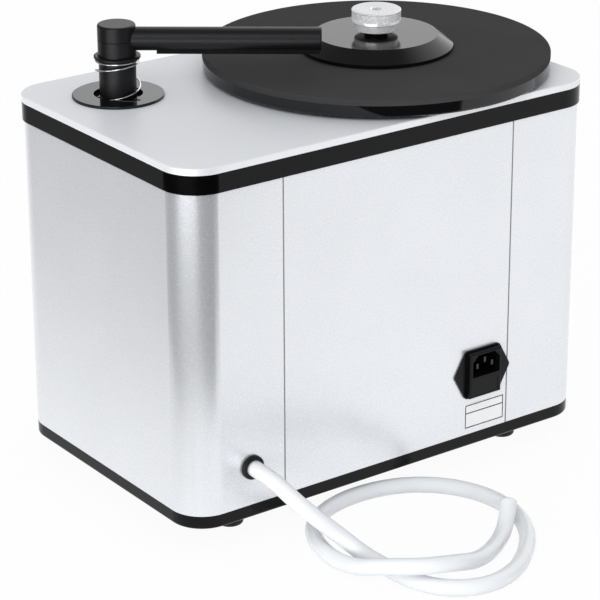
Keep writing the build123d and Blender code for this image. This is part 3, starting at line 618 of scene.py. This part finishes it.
def make_seam_shade_strip():
    """A grey strip over the joint at each side of the back panel, with bevelled edges: the gap is real, its darkness
    here is painted shade.
    """
    low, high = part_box("back_panel")
    mesh = bmesh.new()
    for middle in (low[0] - SEAM_GAP / 2, high[0] + SEAM_GAP / 2):
        section = [
            (middle - SEAM_WIDTH / 2, high[1] - SEAM_RISE / 2),
            (middle + SEAM_WIDTH / 2, high[1] - SEAM_RISE / 2),
            (middle + SEAM_WIDTH / 2 - SEAM_RISE, high[1] + SEAM_RISE),
            (middle - SEAM_WIDTH / 2 + SEAM_RISE, high[1] + SEAM_RISE),
        ]
        ends = [[mesh.verts.new((x, y, z)) for x, y in section] for z in (low[2], high[2])]
        for number in range(4):
            after = (number + 1) % 4
            mesh.faces.new((ends[0][number], ends[0][after], ends[1][after], ends[1][number]))
        mesh.faces.new(ends[1])
        mesh.faces.new(list(reversed(ends[0])))
    shade_strip = add_mesh("seam_shade_strip", mesh, "housing", "silver_painted_steel")
    shade_strip.data.materials[0] = MATERIALS["seam_painted_shade"]


# The seam strips' grey is painted shade for the gaps beside the back panel.
MATERIALS["seam_painted_shade"] = dressed(
    "seam_painted_shade", (0.22, 0.22, 0.225), 0.6, 0.0, 500.0, 0.00001, 0.05, 0.04, Specular_IOR_Level=0.1
)
make_seam_shade_strip()


def make_lift_coil():
    """The lift spring as its own piece, riding on the arm lift in place of the part."""
    coil = bpy.data.objects.new("lift_coil", frame["nodes"]["lift_spring"].data.copy())
    bpy.context.collection.objects.link(coil)
    wear(coil, SLOT_OF["lift_spring"])
    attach(coil, "arm_lift")
    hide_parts("lift_spring")
    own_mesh(coil)


make_lift_coil()

# ------------------------------------------------------------------ studio


class Tree:
    """Short names for arithmetic in a node tree."""

    def __init__(self, tree):
        self.tree = tree

    def math(self, operation, *values):
        made = self.tree.nodes.new("ShaderNodeMath")
        made.operation = operation
        for number, value in enumerate(values):
            if isinstance(value, (int, float)):
                made.inputs[number].default_value = value
            else:
                self.tree.links.new(value, made.inputs[number])
        return made.outputs[0]

    def rise(self, source, start, end, low=0.0, high=1.0):
        """Smooth change from low to high as the source runs from start to end."""
        made = self.tree.nodes.new("ShaderNodeMapRange")
        made.interpolation_type = "SMOOTHSTEP"
        for number, value in enumerate((start, end, low, high), start=1):
            if isinstance(value, (int, float)):
                made.inputs[number].default_value = value
            else:
                self.tree.links.new(value, made.inputs[number])
        self.tree.links.new(source, made.inputs[0])
        return made.outputs[0]

    def weighted(self, x, y, z, a, b, c, shift=0.0):
        """a x + b y + c z + shift."""
        first = self.math("MULTIPLY", x, a)
        second = self.math("MULTIPLY_ADD", y, b, first)
        third = self.math("MULTIPLY_ADD", z, c, second)
        return self.math("ADD", third, shift)

    def split(self, vector):
        made = self.tree.nodes.new("ShaderNodeSeparateXYZ")
        self.tree.links.new(vector, made.inputs[0])
        return made.outputs

    def place(self, output):
        return self.tree.nodes.new("ShaderNodeTexCoord").outputs[output]

    def path(self, output):
        return self.tree.nodes.new("ShaderNodeLightPath").outputs[output]

    def glow(self, strength, color=(1.0, 1.0, 1.0), kind="ShaderNodeEmission"):
        made = self.tree.nodes.new(kind)
        made.inputs["Color"].default_value = (*color, 1.0)
        if isinstance(strength, (int, float)):
            made.inputs["Strength"].default_value = strength
        else:
            self.tree.links.new(strength, made.inputs["Strength"])
        return made.outputs[0]

    def mix(self, share, first, second):
        made = self.tree.nodes.new("ShaderNodeMixShader")
        self.tree.links.new(share, made.inputs[0])
        self.tree.links.new(first, made.inputs[1])
        self.tree.links.new(second, made.inputs[2])
        return made.outputs[0]


# The table: a pale sheet that ends in front of the object's near corner.
FLOOR_EDGE = [
    (-6.0, -6.0),
    (4.72, -6.0),
    (0.596, -0.373),
    (0.45, -0.25),
    (0.45, 0.24),
    (0.32, 0.37),
    (0.1, 0.37),
    (-4.02, 6.0),
    (-6.0, 6.0),
]
FLOOR_WHITE = 0.95
# Its light falls off toward +X: from, to, and the share that is left.
FLOOR_FADE = (0.05, 0.62, 0.42)


def make_floor():
    """A wide pale sheet that keeps a faint shadow and reads as white."""
    mesh = bmesh.new()
    mesh.faces.new([mesh.verts.new((x, y, 0.0)) for x, y in FLOOR_EDGE])
    data = bpy.data.meshes.new("floor")
    mesh.to_mesh(data)
    mesh.free()
    floor = bpy.data.objects.new("floor", data)
    bpy.context.collection.objects.link(floor)
    material = bpy.data.materials.new("floor_white")
    material.use_nodes = True
    material.node_tree.nodes.clear()
    tree = Tree(material.node_tree)
    diffuse = tree.tree.nodes.new("ShaderNodeBsdfDiffuse")
    diffuse.inputs["Color"].default_value = (0.86, 0.86, 0.86, 1.0)
    seen = tree.math("MAXIMUM", tree.path("Is Camera Ray"), tree.path("Is Transmission Ray"))
    plain = tree.mix(tree.math("MULTIPLY", seen, FLOOR_WHITE), diffuse.outputs[0], tree.glow(1.0))
    out = tree.tree.nodes.new("ShaderNodeOutputMaterial")
    x, y, z = tree.split(tree.place("Object"))
    falloff = tree.rise(x, FLOOR_FADE[0], FLOOR_FADE[1], 1.0, FLOOR_FADE[2])
    whole = tree.mix(tree.path("Is Glossy Ray"), plain, tree.glow(falloff))
    tree.tree.links.new(whole, out.inputs["Surface"])
    data.materials.append(material)


WINDOW = (-0.787, -0.401, 0.469)
WINDOW_GLOW = 1.5
ROOM_GLOW = 0.3
FLOOR_GLOW = 0.05
SOFT_GLOW = 0.88


def make_world():
    """Even white studio; glosses see one broad soft window, the camera plain white."""
    world = bpy.data.worlds.new("studio")
    bpy.context.scene.world = world
    world.use_nodes = True
    world.node_tree.nodes.clear()
    tree = Tree(world.node_tree)
    background = "ShaderNodeBackground"
    x, y, z = tree.split(tree.place("Generated"))
    toward = tree.weighted(x, y, z, *WINDOW)
    window = tree.rise(toward, 0.62, 0.93, ROOM_GLOW, WINDOW_GLOW)
    window = tree.rise(z, -0.02, 0.05, FLOOR_GLOW, window)
    soft = tree.glow(SOFT_GLOW, (0.975, 0.985, 1.0), background)
    mirrored = tree.glow(window, (0.99, 0.99, 1.0), background)
    white = tree.glow(1.0, kind=background)
    shown = tree.mix(tree.path("Is Glossy Ray"), soft, mirrored)
    seen = tree.math("MAXIMUM", tree.path("Is Camera Ray"), tree.path("Is Transmission Ray"))
    shown = tree.mix(seen, shown, white)
    out = tree.tree.nodes.new("ShaderNodeOutputWorld")
    tree.tree.links.new(shown, out.inputs["Surface"])


def add_lamp(name, place, aim, width, height, watts):
    """A soft light of a given width and height that points at a spot."""
    data = bpy.data.lights.new(name, "AREA")
    data.shape = "RECTANGLE"
    data.size = width
    data.size_y = height
    data.energy = watts
    lamp = bpy.data.objects.new(name, data)
    lamp.location = place
    direction = Vector(aim) - Vector(place)
    lamp.rotation_euler = direction.to_track_quat("-Z", "Y").to_euler()
    bpy.context.collection.objects.link(lamp)


make_floor()
make_world()
add_lamp("key", (1.4, 1.1, 1.7), (0.0, 0.0, 0.2), 1.1, 1.1, 9.0)
add_lamp("low", (1.58, 0.77, 0.12), (0.1, 0.05, 0.25), 1.9, 0.5, 14.0)
bpy.context.scene.view_settings.view_transform = "Standard"
